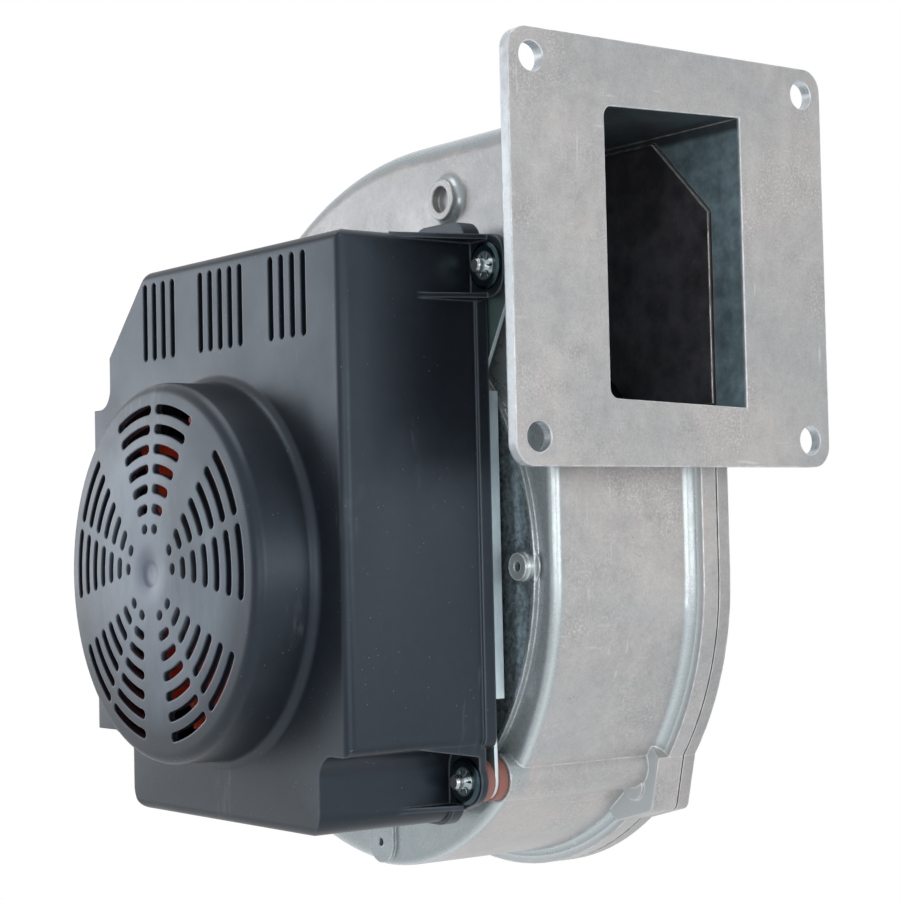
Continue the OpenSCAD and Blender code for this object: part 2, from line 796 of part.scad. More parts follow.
module cooling_wheel() color("orangered") {
    turned() {
        ring_profile(shaft_d / 2, cooling_d / 2, y_wheel - wheel_disc_t, y_wheel);
        ring_profile(shaft_d / 2, 9, y_wheel - wheel_h, y_wheel);
    }
    slab(y_wheel - wheel_h, y_wheel - wheel_disc_t + eps) translate(axis)
        for (i = [0:vane_n - 1]) rotate(i * 360 / vane_n) box2([8.5, -0.9], [cooling_d / 2 - 0.5, 0.9]);
}

module cooling_wheel_clip() color("gray") turned()
    ring_profile(shaft_d / 2, shaft_d / 2 + 3, y_wheel - wheel_h - 1, y_wheel - wheel_h);

// ---------- elastic mounting ----------

// Motor plate outline: the cover's, cut straight on the right, with an ear at each pin
module plate2() {
    r = plate_ear_r;
    intersection() {
        cover2(1);
        box2([cover_left, cover_bottom], [plate_right, cover_top]);
    }
    for (p = pins) disc_at(p, r);
    polygon([[plate_right - 4, cover_top - 1], [pin_up[0], pin_up[1] + r], pin_up + r * [0.6, -0.8],
        [plate_right, pin_up[1] - 29], [plate_right - 4, pin_up[1] - 40]]);
    polygon([pin_low + [-12, -r], pin_low + [0, -r], pin_low + [r, 0],
        [plate_right, pin_low[1] + 20], [plate_right - 20, pin_low[1] + 20]]);
    polygon([pin_left + [0, r], pin_left - [0, r], [cover_left + 6, pin_left[1] - 14],
        [cover_left + 6, pin_left[1] + 14]]);
}

module motor_plate() color("lightsteelblue") difference() {
    union() {
        slab(y_plate_out, y_plate) plate2();
        // lip bent towards the casting
        slab(y_plate_out, y_plate_out + lip_w)
            box2([plate_right - plate_t, lip_low], [plate_right, lip_high]);
    }
    for (p = pins) bar(p, y_plate_out - 1, y_plate + 1, groove_r);
    bar(axis, y_plate_out - 1, y_plate + 1, shaft_d / 2 + 3);
    around(30, [0:90:270]) bar([0, 0], y_plate_out - 1, y_plate + 1, 2);
}

module mounting_pins() color("silver") for (p = pins) {
    bar(p, y_pin_end + 0.5, y_boss + pin_depth(p) - 0.1, pin_d / 2);
    bar(p, y_pin_end, y_pin_end + 0.5 + eps, pin_d / 2 - 0.4);
}

module grommets() color("brown") for (p = pins) turned(p) difference() {
    union() {
        for (y = [y_cover, y_plate]) {
            ring_profile(pin_d / 2 + 0.1, grommet_d / 2 - 0.6, y, y + grommet_t);
            ring_profile(pin_d / 2 + 0.1, grommet_d / 2, y + 0.6, y + grommet_t - 0.6);
            for (e = [0.6, grommet_t - 0.6]) disc_at([grommet_d / 2 - 0.6, y + e], 0.6);
        }
        ring_profile(pin_d / 2 + 0.1, groove_r, y_plate_out - eps, y_plate + eps);
    }
}

// Sprung washer: a shallow cap with a toothed bore
module push_on_washers() color("darkslategray") for (p = pins) difference() {
    turned(p) polygon([[washer_d / 2, y_ear], [washer_d / 2, y_ear - 1.1], [washer_d / 2 - 1, y_ear - 1.5],
        [pin_d / 2, y_ear - 0.9], [pin_d / 2, y_ear - 0.4], [washer_d / 2 - 1, y_ear - 0.9],
        [washer_d / 2 - 0.6, y_ear]]);
    for (a = [0:60:300]) translate([p[0], 0, p[1]]) rotate([0, a, 0])
        translate([pin_d / 2 - 0.4, y_ear - 3, -0.35]) cube([1.7, 3, 0.7]);
}

// ---------- electronics ----------

module circuit_board() color("darkgreen") slab(y_board - board_t, y_board) difference() {
    box2([board_left, board_low], [board_right, board_high]);
    at_standoffs() circle(r = 1.6);
}

module at_standoffs() {
    for (x = [board_left + 5, board_right - 5], z = [board_low + 5, board_high - 5])
        translate([x, z]) children();
}

module board_standoffs() color("ivory") {
    slab(y_board, y_plate_out) at_standoffs() circle(r = 3);
    slab(y_board - board_t - 1.5, y_board + eps) at_standoffs() circle(r = 1.5);
}

module heat_sink() color("silver") {
    base = y_board - board_t;
    x0 = board_right - 44;
    z0 = board_low + 2;
    sink_h = board_high - board_low - 12;
    translate([x0, base - 3, z0]) cube([30, 3, sink_h]);
    for (i = [0:5]) translate([x0 + i * 5.6, base - 16, z0]) cube([2, 13 + eps, sink_h]);
}

module capacitors() color("midnightblue") {
    z = (board_low + board_high) / 2;
    for (x = [board_left + 22, board_left + 40]) bar([x, z], y_board - board_t - 25, y_board - board_t, 8);
}

// Shrouded plug socket let into the left wall of the cover
module socket(z0, w_y, h_z, pins_z) {
    x0 = cover_left - 0.5;
    difference() {
        translate([x0, y_socket - w_y / 2, z0 - h_z / 2]) cube([socket_depth, w_y, h_z]);
        translate([x0 - 1, y_socket - w_y / 2 + 1.5, z0 - h_z / 2 + 1.5])
            cube([socket_depth - 2, w_y - 3, h_z - 3]);
    }
    for (z = pins_z) translate([x0 + 3, y_socket - 0.5, z0 + z - 0.5]) cube([socket_depth - 4, 1, 1]);
}

module power_socket() color("ivory") socket(power_z, power_size[0], power_size[1], [-5, 0, 5]);

module signal_socket() color("black") socket(signal_z, signal_size[0], signal_size[1], [-6, -3, 0, 3, 6]);

// ---------- motor cover ----------

// Cover outline shrunk by g: a block with a sloping corner, a bump and a foot
module cover2(g) {
    r = max(cover_edge_r - g, 0.3);
    difference() {
        union() {
            round_box2([cover_slope_x + g, cover_waist + g], [cover_right - g, cover_top - g], r);
            round_box2([cover_left + g, bump_low + g], [cover_slope_x + 20, bump_top - g], r);
            round_box2([cover_foot_left, cover_bottom] + [g, g], [cover_foot_right - g, cover_waist + 10], r + 4);
            web2([cover_slope_x + g, bump_top - g], 7 + g, -1, 1);
            web2([cover_foot_left + g, bump_low + g], 6 + g, -1, -1);
            web2([cover_foot_right - g, cover_waist + g], 7 + g, 1, -1);
        }
        translate([cover_slope_x, cover_top]) rotate(45)
            square([2.4 * cover_slope, sqrt(2) * cover_slope + 2 * g], center = true);
    }
}

// The dome, shrunk by wall: a drum with a rounded rim, a slightly convex cap and, on the
// outside, a coved foot and a dimple at its centre. Curves are runs of short cones.
module dome(wall, foot) {
    r0 = dome_d / 2 - wall;
    edge = max(dome_edge_r - wall, 1);
    r1 = r0 - edge;
    y_rim = y_cap_rim + wall;
    cap = [for (k = [slot_rows:-1:0]) let (r = slot_row_r - (k - 0.5) * slot_pitch)
        [r, y_rim - cap_rise * (1 - pow(r / r1, 2))]];
    dimple = [[0, cap[0][1] + (foot ? 0.9 : 0)], [3.2, cap[0][1] + (foot ? 0.7 : 0)], [4.6, cap[0][1]]];
    rim = [for (a = [90:-15:0]) [r1 + edge * cos(a), y_rim + edge - edge * sin(a)]];
    cove = [for (a = [0:18:90]) [r0 + cove_r * (1 - cos(a)), y_face - cove_r * (1 - sin(a))]];
    low = foot ? concat(cove, [[r0 + cove_r, y_face + 1], [0, y_face + 1]])
        : [[r0, y_face + wall + 1], [0, y_face + wall + 1]];
    turned() polygon(concat(foot ? dimple : [[0, cap[0][1]]], cap, rim, low));
}

// Slots of one sector, centred on +Z: two arcs with round ends in each row
module sector_slots2() {
    for (k = [0:slot_rows - 1]) {
        r = slot_row_r - k * slot_pitch;
        a_in = asin((sector_rib / 2 + slot_w / 2) / r);
        a_out = max(asin((0.5 * r - 2 - slot_w / 2) / r), a_in + 1);
        arc_slot2(r, 90 + a_in, 90 + a_out);
        arc_slot2(r, 90 - a_out, 90 - a_in);
    }
}

// Slot along a circle of radius r, with round ends at the angles a0 and a1
module arc_slot2(r, a0, a1) {
    intersection() {
        difference() {
            circle(r = r + slot_w / 2);
            circle(r = r - slot_w / 2);
        }
        polygon([[0, 0], 2 * r * [cos(a0), sin(a0)], 2 * r * [cos(a1), sin(a1)]]);
    }
    // ends a little narrower than the slot
    for (a = [a0, a1]) disc_at(r * [cos(a), sin(a)], slot_w / 2 - 0.06);
}

module vents2() {
    for (g = vent_groups, i = [0:g[1] - 1]) {
        x = cover_right - g[0] - i * vent_pitch;
        z = cover_top - 4;
        w = vent_w / 2;
        round_box2([x - w, z - vent_h], [x + w, z], w - eps);
    }
}

// Profile of the cover with rounded front corners, between the sides x0 and x1
module front_profile2(x0, x1) {
    r = cover_edge_r;
    box2([x0 + r, y_face - eps], [x1 - r, cover_rim + 1]);
    box2([x0 - eps, y_face + r], [x1 + eps, cover_rim + 1]);
    for (x = [x0 + r, x1 - r]) disc_at([x, y_face + r], r);
}

// The same seen from the side, between the heights z0 and z1
module side_profile2(z0, z1) {
    r = cover_edge_r;
    box2([y_face - eps, z0 + r], [cover_rim + 1, z1 - r]);
    box2([y_face + r, z0 - eps], [cover_rim + 1, z1 + eps]);
    for (z = [z0 + r, z1 - r]) disc_at([y_face + r, z], r);
}

// Cover body with the dome, solid
module cover_outside() {
    intersection() {
        slab(y_face, cover_rim) cover2(0);
        translate([0, 0, cover_bottom - 5]) linear_extrude(cover_top - cover_bottom + 10)
            front_profile2(cover_left, cover_right);
        translate([cover_left - 5, 0, 0]) rotate([90, 0, 90]) linear_extrude(cover_right - cover_left + 10)
            side_profile2(cover_bottom, cover_top);
    }
    // bead round the rear edge
    slab(cover_rim - 4, cover_rim) cover2(-1);
    dome(0, true);
}

module cover_hollow() {
    slab(y_face + cover_wall, cover_rim + 1) cover2(cover_wall);
    dome(cover_wall, false);
}

// Ears on the pins, with the walls that stiffen them, and the tab above the rear edge
module cover_ears() {
    r = cover_ear_r;
    h = up_ear_half;
    x_foot = cover_foot_right - 1;
    // outer side of the walls that pass below or above a washer
    w = washer_d / 2 + 0.3 + gusset_t;
    tip = r * [cos(60), sin(60)];
    slab(y_ear, y_cover) {
        round_box2([cover_right - 16, pin_up[1] - h], pin_up + [r, h], r - 0.5);
        disc_at(pin_low, r);
        polygon([pin_low + [-2, -w], pin_low + [tip[0], -tip[1]], pin_low + r * [cos(30), sin(30)],
            [cover_right - 1, cover_waist + 1], [x_foot, cover_waist + 1], [x_foot, pin_low[1] - w]]);
        disc_at(pin_left, r);
        polygon([pin_left + [2, w], pin_left + [-tip[0], tip[1]], pin_left - [0, r],
            [cover_left + 1, pin_left[1] - r], [cover_left + 1, pin_left[1] + w]]);
    }
    gusset([cover_right - 1, pin_up[1] + h], pin_up[0], 28);
    gusset([cover_right - 1, pin_up[1] - h + gusset_t], pin_up[0], 22);
    gusset([x_foot, pin_low[1] - w + gusset_t], pin_low[0] - 2, 20);
    gusset([cover_left + 1, pin_left[1] + w], pin_left[0] + 2, 20);
    // wedge below the block, beside the lower pin
    translate([cover_right - 1 - gusset_t, 0, 0]) rotate([90, 0, 90]) linear_extrude(gusset_t)
        polygon([[y_ear + 1, cover_waist + 1], [y_ear - 24, cover_waist + 1], [y_ear, cover_waist - 3],
            [y_ear + 1, cover_waist - 3]]);
    slab(cover_rim - 6, cover_rim)
        round_box2([cover_right - 27, cover_top - 9], [cover_right - 1.5, cover_top + 5.5], 6);
}

module cover_openings() {
    slab(y_cap_rim - 8, y_cap_rim + 8) translate(axis)
        for (i = [0:sector_n - 1]) rotate(i * 360 / sector_n) sector_slots2();
    slab(y_face - 1, y_face + cover_wall + 1) vents2();
    for (s = [[power_z, power_size], [signal_z, signal_size]])
        translate([cover_left - 2, y_socket - s[1][0] / 2 - socket_clear, s[0] - s[1][1] / 2 - socket_clear])
            cube([cover_wall + 4, s[1][0] + 2 * socket_clear, s[1][1] + 2 * socket_clear]);
}

module motor_cover() color([0.2, 0.21, 0.23]) {
    difference() {
        cover_outside();
        cover_hollow();
        cover_openings();
    }
    difference() {
        cover_ears();
        slab(y_face + cover_wall, cover_rim + 1) cover2(cover_wall);
        for (p = pins) bar(p, y_ear - 3, y_cover + 1, pin_d / 2 + 0.3);
    }
}

// Thin triangular wall from the side of the cover, at p = [x, z], out to x_ear
module gusset(p, x_ear, length) {
    translate([0, 0, p[1] - gusset_t]) linear_extrude(gusset_t)
        polygon([[p[0], y_ear + 1], [x_ear, y_ear + 1], [x_ear, y_ear], [p[0], y_ear - length]]);
}

volute_housing();
inlet_cover();
inlet_gasket();
inlet_cover_screws();
shaft_seal();
impeller_backplate();
impeller_blades();
impeller_shroud();
impeller_hub();
hub_rivets();
hub_nut();
shaft();
front_bearing();
rear_bearing();
rotor_core();
rotor_magnet();
stator_core();
stator_insulator();
stator_windings();
front_bearing_bracket();
rear_bearing_bracket();
bracket_screws();
plate_screws();
cooling_wheel();
cooling_wheel_clip();
motor_plate();
mounting_pins();
grommets();
push_on_washers();
circuit_board();
board_standoffs();
heat_sink();
capacitors();
power_socket();
signal_socket();
motor_cover();
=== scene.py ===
"""Scene for the radial blower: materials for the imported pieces, studio, camera and lights.

Lengths are in metres. The fan axis runs along Y, the motor looks to -Y and the outlet to +X."""

import math

import bpy
from mathutils import Matrix, Vector


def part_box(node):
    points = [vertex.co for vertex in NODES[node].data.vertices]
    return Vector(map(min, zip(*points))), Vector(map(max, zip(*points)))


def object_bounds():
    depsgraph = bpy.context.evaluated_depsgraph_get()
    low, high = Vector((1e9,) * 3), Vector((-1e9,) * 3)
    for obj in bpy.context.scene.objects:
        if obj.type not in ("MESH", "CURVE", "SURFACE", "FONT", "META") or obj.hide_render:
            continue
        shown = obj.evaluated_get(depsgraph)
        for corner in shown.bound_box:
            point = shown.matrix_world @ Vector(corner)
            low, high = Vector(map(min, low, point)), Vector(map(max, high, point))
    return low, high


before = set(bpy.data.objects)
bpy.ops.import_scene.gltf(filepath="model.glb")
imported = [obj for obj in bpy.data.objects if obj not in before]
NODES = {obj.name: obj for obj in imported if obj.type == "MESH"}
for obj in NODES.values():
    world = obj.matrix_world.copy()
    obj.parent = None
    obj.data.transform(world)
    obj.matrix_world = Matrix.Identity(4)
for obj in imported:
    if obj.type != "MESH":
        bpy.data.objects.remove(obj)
CAD_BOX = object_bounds()

# ---------- places on the object that the materials need ----------

# The air's space in the outlet duct, carried on through the scroll, with up to 0.5 mm to spare; on the
# inlet side it ends at the casting's joint
DUCT_LOW = (-0.3, -0.0264, -0.0432)
DUCT_HIGH = (-0.0012, 0.0315, 0.0432)
DUCT_MIDDLE_Y = (DUCT_LOW[1] + DUCT_HIGH[1]) / 2
# Thickness of the band of painted shade under the duct's roof
ROOF_DEPTH = 0.003
# Between the inlet cover's pad and the casting's rim, whose faces look to the motor
PAD_Y = 0.0255
# The ears' faces on the motor side lie between this and PAD_Y, the rim's where the mask fades past it
RIM_Y = 0.006
# Just inside the outlet flange's back, and just past its face
FLANGE_BACK_X = -0.0033
FLANGE_FRONT_X = 0.001
# Fan axis as (x, z), from the shaft
SHAFT_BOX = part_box("shaft")
FAN_AXIS = tuple((SHAFT_BOX[0][k] + SHAFT_BOX[1][k]) / 2 for k in (0, 2))
# Round land behind the motor: a plane between its flat and its lip, the radii over which the painted shade
# on its flat fades, and those over which the painted highlight on the ring round it fades
LAND_Y = DUCT_LOW[1] - 0.003
LAND_FLAT_R = (0.0795, 0.081)
LAND_RING_R = (0.092, 0.097)
# Well in front of the land
MOTOR_SIDE_Y = -0.06
# Face of the dome, the foremost plane of the motor cover; how deep its painted sheen reaches; a place clear
# in front
DOME_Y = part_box("motor_cover")[0][1]
RUBBED_SHEEN_DEPTH = 0.001
DOME_CLEAR = 0.01
# Radii over which a push-on washer's bright teeth fade into its blued disc
TEETH_R = (0.0038, 0.0044)


# ---------- node helpers ----------


def is_socket(value):
    """True for a node's output, False for a plain number or colour."""
    return hasattr(value, "is_output")


def times(colour, factor):
    """A colour with each channel multiplied."""
    return tuple(factor * c for c in colour)


class Nodes:
    """A node tree, emptied, with short calls for what is added to it."""

    def __init__(self, tree):
        self.tree = tree
        self.tree.nodes.clear()

    def add(self, kind, **props):
        node = self.tree.nodes.new(kind)
        for key, value in props.items():
            setattr(node, key, value)
        return node

    def link(self, a, b):
        self.tree.links.new(a, b)

    def put(self, socket, value):
        """Links an output or sets a plain value."""
        if is_socket(value):
            self.link(value, socket)
        else:
            socket.default_value = value

    def math(self, op, a, b=0.0, clamp=False):
        m = self.add("ShaderNodeMath", operation=op, use_clamp=clamp)
        self.put(m.inputs[0], a)
        self.put(m.inputs[1], b)
        return m.outputs[0]

    def product(self, a, b):
        return self.math("MULTIPLY", a, b)

    def vector_math(self, op, a, b, out="Vector"):
        m = self.add("ShaderNodeVectorMath", operation=op)
        self.put(m.inputs[0], a)
        self.put(m.inputs[1], b)
        return m.outputs[out]

    def seen(self):
        """1 for rays from the camera, for reflections and through glass, 0 for other light."""
        path = self.add("ShaderNodeLightPath")
        direct = self.math("MAXIMUM", path.outputs["Is Camera Ray"], path.outputs["Is Glossy Ray"])
        return self.math("MAXIMUM", direct, path.outputs["Is Transmission Ray"])

    def choose(self, fac, a, b, socket):
        """Sends shader a, or b where fac is 1, to a socket."""
        mix = self.add("ShaderNodeMixShader")
        self.link(fac, mix.inputs[0])
        self.link(a, mix.inputs[1])
        self.link(b, mix.inputs[2])
        self.link(mix.outputs[0], socket)


class Shader(Nodes):
    """A material round one Principled BSDF, so that it reads as a list of steps."""

    def __init__(self, name):
        self.mat = bpy.data.materials.new(name)
        self.mat.use_nodes = True
        super().__init__(self.mat.node_tree)
        self.out = self.add("ShaderNodeOutputMaterial")
        self.bsdf = self.add("ShaderNodeBsdfPrincipled")
        self.link(self.bsdf.outputs[0], self.out.inputs["Surface"])
        self.coord = self.add("ShaderNodeTexCoord").outputs["Object"]

    # textures

    def scaled(self, scale):
        m = self.add("ShaderNodeMapping")
        m.inputs["Scale"].default_value = scale
        self.link(self.coord, m.inputs["Vector"])
        return m.outputs[0]

    def texture(self, kind, vector, values, **props):
        t = self.add(kind, **props)
        for key, value in values.items():
            t.inputs[key].default_value = value
        self.link(vector or self.coord, t.inputs["Vector"])
        return t

    def noise(self, scale, detail=4.0, rough=0.55, vector=None, distortion=0.0):
        values = {"Scale": scale, "Detail": detail, "Roughness": rough, "Distortion": distortion}
        return self.texture("ShaderNodeTexNoise", vector, values).outputs["Fac"]

    def cells(self, scale):
        """Distance to the nearest of many scattered points."""
        return self.texture("ShaderNodeTexVoronoi", None, {"Scale": scale}).outputs["Distance"]

    def wave(self, scale, distortion, axis):
        values = {"Scale": scale, "Distortion": distortion}
        return self.texture("ShaderNodeTexWave", None, values, bands_direction=axis).outputs["Fac"]

    # colours and masks

    def ramp(self, fac, stops):
        r = self.add("ShaderNodeValToRGB")
        elements = r.color_ramp.elements
        while len(elements) < len(stops):
            elements.new(0.5)
        for element, (position, colour) in zip(elements, stops):
            rgb = (colour,) * 3 if isinstance(colour, (int, float)) else colour
            element.position = position
            element.color = (*rgb, 1.0)
        self.link(fac, r.inputs[0])
        return r.outputs[0]

    def step(self, fac, low, high):
        """0 below low, 1 above high, even between them."""
        return self.ramp(fac, [(low, 0.0), (high, 1.0)])

    def mix(self, fac, a, b, blend="MIX"):
        m = self.add("ShaderNodeMix", data_type="RGBA", blend_type=blend)
        self.put(m.inputs[0], fac)
        self.put(m.inputs[6], a if is_socket(a) else (*a, 1.0))
        self.put(m.inputs[7], b if is_socket(b) else (*b, 1.0))
        return m.outputs[2]

    def shade(self, colour, by, fac=1.0):
        """Multiplies a colour."""
        return self.mix(fac, colour, by, "MULTIPLY")

    def axis(self, which):
        s = self.add("ShaderNodeSeparateXYZ")
        self.link(self.coord, s.inputs[0])
        return s.outputs[which]

    def true_normal(self):
        return self.add("ShaderNodeNewGeometry").outputs["Normal"]

    def normal(self, which):
        s = self.add("ShaderNodeSeparateXYZ")
        self.link(self.true_normal(), s.inputs[0])
        return s.outputs[which]

    def lean(self, which):
        """How much a face looks along an axis, either way."""
        return self.math("ABSOLUTE", self.normal(which))

    def rounded(self, radius, samples=6):
        """The normal with its sharp edges rounded."""
        bevel = self.add("ShaderNodeBevel", samples=samples)
        bevel.inputs["Radius"].default_value = radius
        return bevel.outputs[0]

    def edge_mask(self, radius):
        """1 along sharp edges within radius, 0 elsewhere."""
        same = self.vector_math("DOT_PRODUCT", self.rounded(radius, 8), self.true_normal(), "Value")
        return self.step(self.math("SUBTRACT", 1.0, same), 0.02, 0.2)

    # the shader's own sockets

    def bump(self, height, strength, distance=0.0001, edge=0.0):
        b = self.add("ShaderNodeBump")
        b.inputs["Strength"].default_value = strength
        b.inputs["Distance"].default_value = distance
        self.link(height, b.inputs["Height"])
        if edge:
            self.link(self.rounded(edge), b.inputs["Normal"])
        self.link(b.outputs[0], self.bsdf.inputs["Normal"])

    def base(self, colour):
        self.put(self.bsdf.inputs["Base Color"], colour if is_socket(colour) else (*colour, 1.0))

    def base_so_far(self):
        return self.bsdf.inputs["Base Color"].links[0].from_socket

    def rough(self, value):
        self.put(self.bsdf.inputs["Roughness"], value)

    def metal(self, value):
        self.bsdf.inputs["Metallic"].default_value = value

    def spec(self, value):
        self.bsdf.inputs["Specular IOR Level"].default_value = value


# ---------- masks ----------


def inside(s, which, low, high, soft):
    """1 between low and high along one axis, falling to 0 over soft."""
    up = s.math("DIVIDE", s.math("SUBTRACT", s.axis(which), low - soft), soft, clamp=True)
    down = s.math("DIVIDE", s.math("SUBTRACT", high + soft, s.axis(which)), soft, clamp=True)
    return s.product(up, down)


def near_line(s, centre, radii):
    """1 near the line along Y through centre = (x, z), falling to 0 between the two radii."""
    dx = s.math("SUBTRACT", s.axis("X"), centre[0])
    dz = s.math("SUBTRACT", s.axis("Z"), centre[1])
    r = s.math("SQRT", s.math("ADD", s.product(dx, dx), s.product(dz, dz)))
    return s.math("DIVIDE", s.math("SUBTRACT", radii[1], r), radii[1] - radii[0], clamp=True)


def faces_out(s, centre, ways):
    """1 where a face looks away from centre, as seen along the axes that ways marks with 1."""
    off = s.vector_math("MULTIPLY", s.vector_math("SUBTRACT", s.coord, centre), ways)
    return s.math("GREATER_THAN", s.vector_math("DOT_PRODUCT", off, s.true_normal(), "Value"), 0.0)


def rounding(s):
    """1 where a casting's face is neither across nor along the fan axis: its roundings and coves."""
    return s.ramp(s.lean("Y"), [(0.06, 0.0), (0.2, 1.0), (0.9, 1.0), (0.985, 0.0)])


def in_duct(s):
    """1 on the walls that the air touches, 0 on the casting's outside."""
    past = inside(s, "X", DUCT_LOW[0], FAN_AXIS[0], 0.0002)
    duct_out = s.math("SUBTRACT", faces_out(s, (0.0, DUCT_MIDDLE_Y, 0.0), (0.0, 1.0, 1.0)), past)
    scroll_out = faces_out(s, (FAN_AXIS[0], DUCT_MIDDLE_Y, FAN_AXIS[1]), (1.0, 1.0, 1.0))
    ears = s.math("LESS_THAN", s.normal("Y"), -0.5)
    ears = s.product(ears, s.math("LESS_THAN", s.axis("Y"), PAD_Y))
    scroll_out = s.math("MAXIMUM", scroll_out, ears)
    out = s.math("MAXIMUM", duct_out, s.product(past, scroll_out))
    m = s.math("SUBTRACT", inside(s, "X", DUCT_LOW[0], DUCT_HIGH[0], 0.0008), out, clamp=True)
    m = s.product(m, inside(s, "Y", DUCT_LOW[1], DUCT_HIGH[1], 0.0003))
    return s.product(m, inside(s, "Z", DUCT_LOW[2], DUCT_HIGH[2], 0.0003))


def islands(node):
    """Centres of a node's separate solids."""
    mesh = NODES[node].data
    group = list(range(len(mesh.vertices)))

    def root(i):
        while group[i] != i:
            group[i] = group[group[i]]
            i = group[i]
        return i

    places = {}
    for v in mesh.vertices:
        places.setdefault(tuple(round(c, 6) for c in v.co), []).append(v.index)
    for same in places.values():
        for i in same[1:]:
            group[root(i)] = root(same[0])
    for e in mesh.edges:
        group[root(e.vertices[0])] = root(e.vertices[1])
    sets = {}
    for v in mesh.vertices:
        sets.setdefault(root(v.index), []).append(v.co)
    centres = []
    for cos in sets.values():
        corners = [Vector(pick(co[k] for co in cos) for k in range(3)) for pick in (min, max)]
        centres.append((corners[0] + corners[1]) / 2)
    return centres


# ---------- cast aluminium ----------

COOL_GREY = (0.326, 0.329, 0.334)
CALM_GREY = (0.356, 0.355, 0.355)
WARM_GREY = (0.396, 0.384, 0.379)
PIT = (0.1, 0.1, 0.1)
RIM_PAINTED_LIGHT = (0.55, 0.61, 0.63)
TRIM_GREY = (0.6, 0.66, 0.7)
SCRATCH = (0.6, 0.6, 0.59)
WORN_AND_HIGHLIT_METAL = (0.76, 0.785, 0.81)
WORN_AND_HIGHLIT_DUCT_EDGE = (0.66, 0.62, 0.54)
ROOF_SHADE = (0.03, 0.03, 0.035)
LAND_SHADE = (0.085, 0.115, 0.13)


def cast_skin(s, tone, patch, cloud, mottle, grain):
    """The matt surface: warm and cool patches, clouds, mottling, grain, and rougher spots."""
    greys = [times(c, tone) for c in (COOL_GREY, CALM_GREY, WARM_GREY)]
    col = s.ramp(patch, list(zip((0.36, 0.48, 0.6), greys)))
    col = s.shade(col, s.ramp(cloud, [(0.34, 0.94), (0.5, 1.0), (0.66, 1.05)]))
    col = s.shade(col, s.ramp(mottle, [(0.34, 0.95), (0.5, 1.0), (0.66, 1.03)]))
    col = s.shade(col, s.ramp(grain, [(0.34, 0.88), (0.6, 1.04)]), 0.8)
    rough_spots = s.step(s.noise(31.0, 4.0, 0.6), 0.5, 0.62)
    speck = s.ramp(s.noise(1300.0, 2.0, 0.6), [(0.42, 0.84), (0.56, 1.0), (0.7, 1.3)])
    return s.mix(s.product(rough_spots, 0.8), col, s.shade(col, speck))


def cast_pits(s):
    """1 in a few scattered pits."""
    pit = s.ramp(s.cells(330.0), [(0.05, 1.0), (0.1, 0.0)])
    return s.product(pit, s.step(s.noise(70.0, 2.0), 0.64, 0.68))


def painted_gleam_places(s):
    """1 on roundings and coves, and on the ring round the land: where a blue-grey highlight is painted."""
    near_land = inside(s, "Y", MOTOR_SIDE_Y, LAND_Y + 0.003, 0.003)
    return s.math("MAXIMUM", rounding(s), s.product(near_line(s, FAN_AXIS, LAND_RING_R), near_land))


def painted_light_and_trim(s, col, painted_gleam_mask, cloud):
    """Painted blue-grey highlight on the roundings and the land's ring, painted light on the rim's and
    ears' faces, and paler flange edges.
    """
    # Painted blue-grey highlight, brightest where a face looks halfway between along and across the fan
    # axis
    painted_gleam = s.ramp(s.lean("Y"),
                   [(0.1, (0.26, 0.32, 0.345)), (0.5, (0.5, 0.575, 0.6)), (0.9, (0.28, 0.345, 0.37))])
    col = s.mix(s.product(painted_gleam_mask, 0.68), col, painted_gleam)
    # Painted light on the rim's and ears' faces that look to the motor, which lie in shade
    rim = s.product(s.math("LESS_THAN", s.normal("Y"), -0.9), inside(s, "Y", RIM_Y, PAD_Y, 0.0005))
    col = s.mix(s.product(rim, 0.7), col, RIM_PAINTED_LIGHT)
    trim = s.product(s.math("LESS_THAN", s.lean("X"), 0.5),
                     inside(s, "X", FLANGE_BACK_X, FLANGE_FRONT_X, 0.0002))
    return s.mix(s.product(trim, s.ramp(cloud, [(0.4, 0.35), (0.6, 0.75)])), col, TRIM_GREY)


def scratches(s, col):
    """Fine bright scratches, some along the fan axis and some upright."""
    for k, way in enumerate(((1.0, 0.1, 1.0), (1.0, 1.0, 0.08))):
        line = s.step(s.noise(620.0 + 90.0 * k, 1.0, 0.4, vector=s.scaled(way)), 0.7, 0.74)
        some = s.step(s.noise(48.0 + 9.0 * k, 2.0), 0.54, 0.64)
        col = s.mix(s.product(s.product(line, some), 0.35), col, SCRATCH)
    return col


def duct_painted_shade(s, col, duct_shade_colour, clouds, worn_lit_edges):
    """Painted shade on the walls that the air touches, darkest under the roof; edges lighter for wear and a
    painted highlight.
    """
    stops = [(0.4, times(duct_shade_colour, 0.6)), (0.5, duct_shade_colour), (0.6, times(duct_shade_colour, 1.45))]
    # Painted shade on the duct's walls, in cloudy patches
    duct_shade = s.ramp(clouds, stops)
    # Darker painted shade in the band under the duct's roof
    roof = inside(s, "Z", DUCT_HIGH[2] - ROOF_DEPTH, DUCT_HIGH[2], ROOF_DEPTH / 2)
    duct_shade = s.mix(s.product(roof, 0.8), duct_shade, ROOF_SHADE)
    # Lighter edges in the duct: wear and a painted highlight of the lit edge
    duct_shade = s.mix(s.product(worn_lit_edges, 0.9), duct_shade, WORN_AND_HIGHLIT_DUCT_EDGE)
    return s.mix(in_duct(s), col, duct_shade)


def land_painted_shade(s, col, mottle):
    """Painted shade, dark and mottled, on the flat of the land behind the motor."""
    land = s.product(inside(s, "Y", LAND_Y - 0.001, LAND_Y + 0.0004, 0.0002),
                     near_line(s, FAN_AXIS, LAND_FLAT_R))
    # Painted shade, mottled, on the land's flat
    shaded_land = s.shade(s.ramp(mottle, [(0.36, 0.45), (0.62, 1.9)]), LAND_SHADE)
    return s.mix(s.product(land, 0.9), col, shaded_land)


